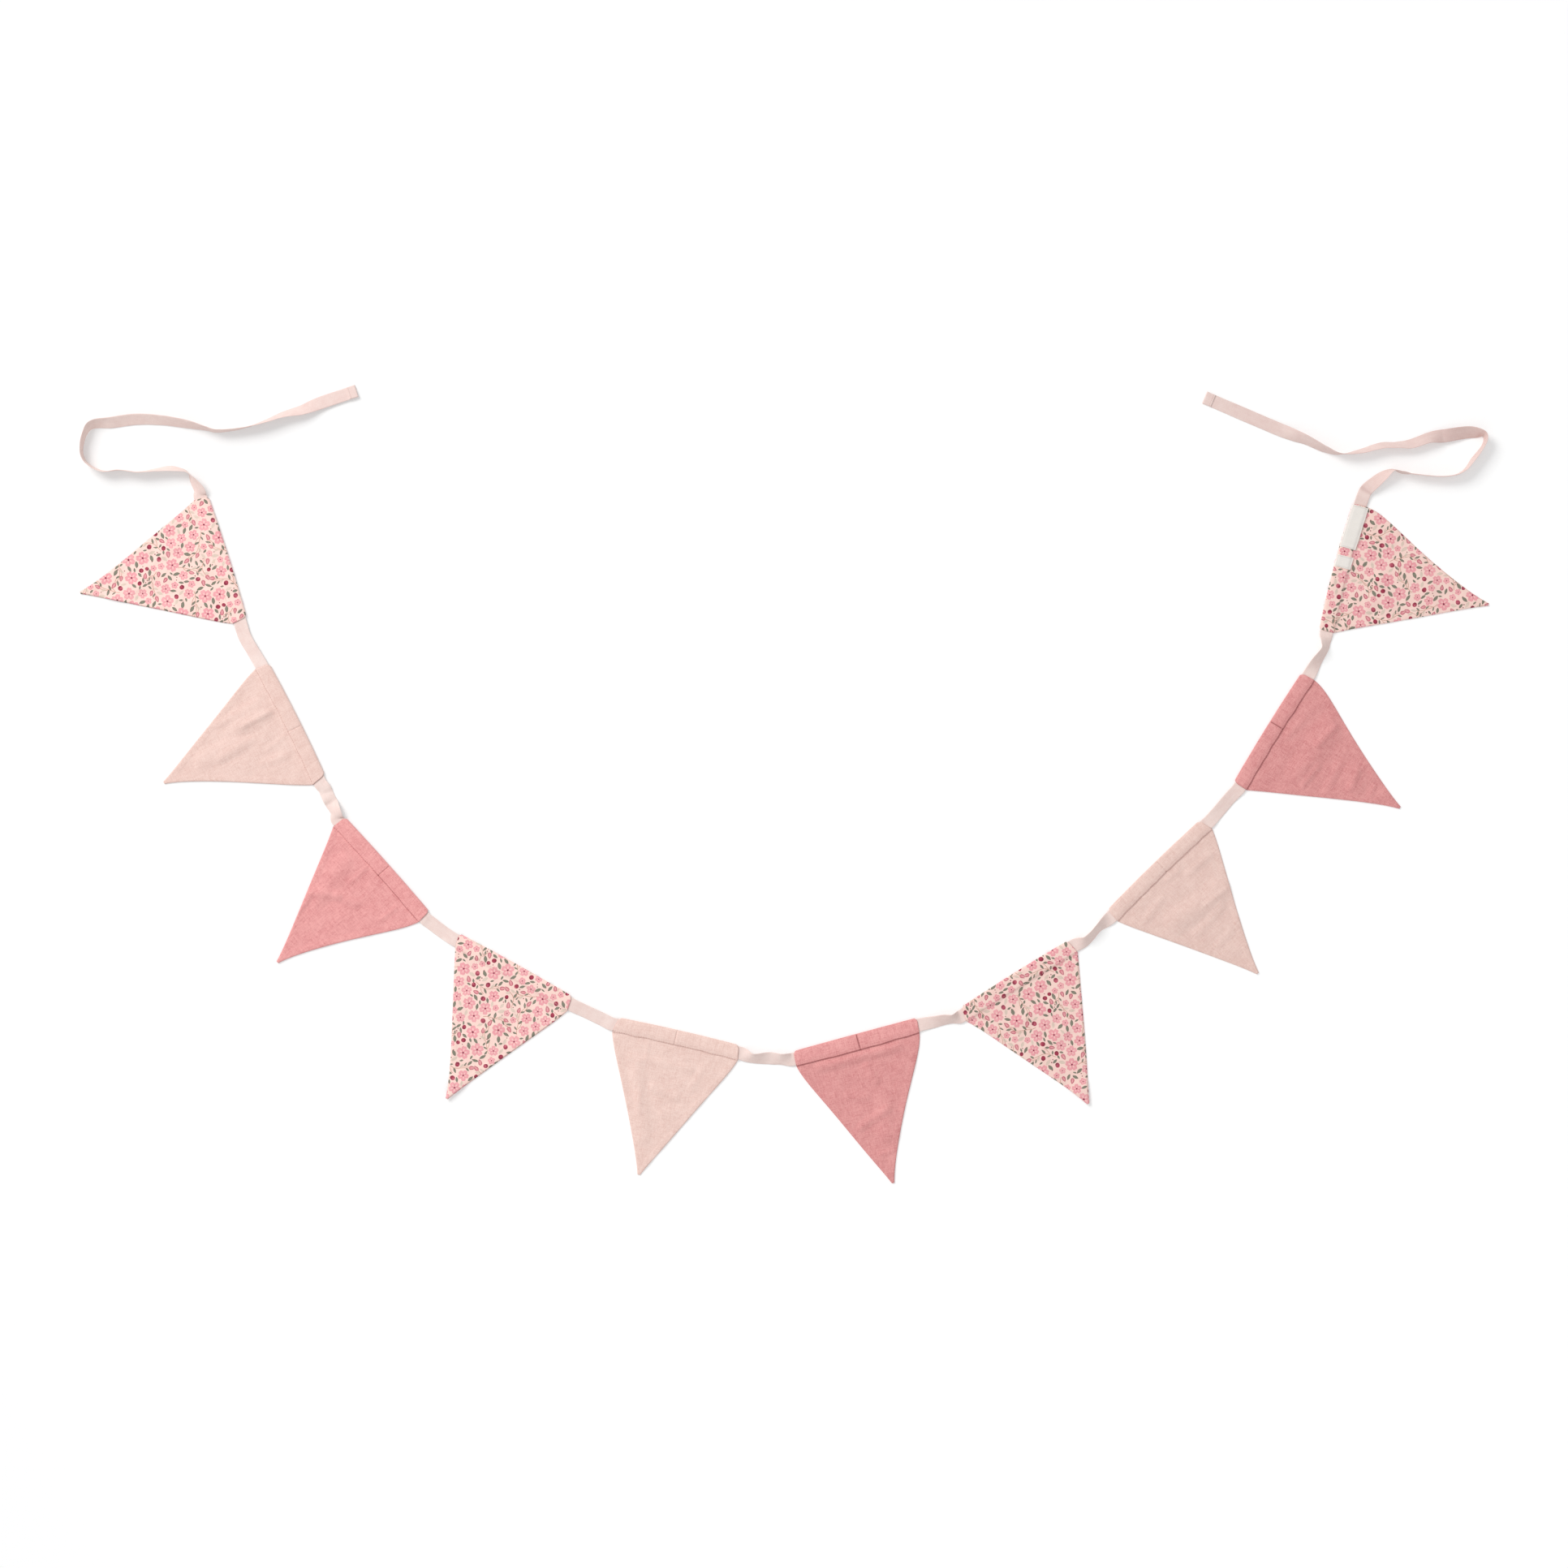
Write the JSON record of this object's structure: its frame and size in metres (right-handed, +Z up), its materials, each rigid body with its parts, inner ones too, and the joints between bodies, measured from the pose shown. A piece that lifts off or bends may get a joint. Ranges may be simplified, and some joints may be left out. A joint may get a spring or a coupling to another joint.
{
  "type": "fabric bunting",
  "caption": "Cloth bunting lying open in a wide U: two-layer triangular pennants in printed and plain cotton, threaded by their casings on one long tape with free ties.",
  "frame": {"origin": "centre of the bounding box at the surface that the bunting lies on", "axes": "+X along the U's width, from the first tie towards the labelled pennant; +Y from the bottom of the U towards its open end; +Z up from the surface"},
  "size_m": [1.7358, 0.9838, 0.016],
  "materials": {
    "floral": "matte printed cotton, small flowers and leaves on blush",
    "light": "matte plain-woven cotton, pale blush pink",
    "dark": "matte plain-woven cotton, dusty rose",
    "tape": "matte cotton tape, very pale pink",
    "label": "bare woven label tape, cream"
  },
  "bodies": {
    "root": {"tape": "tape", "flag_01": "floral", "flag_02": "light", "flag_03": "dark", "flag_04": "floral", "flag_05": "light", "flag_06": "dark", "flag_07": "floral", "flag_08": "light", "flag_09": "dark", "flag_10": "floral", "label_long": "label", "label_small": "label"}
  },
  "joints": []
}
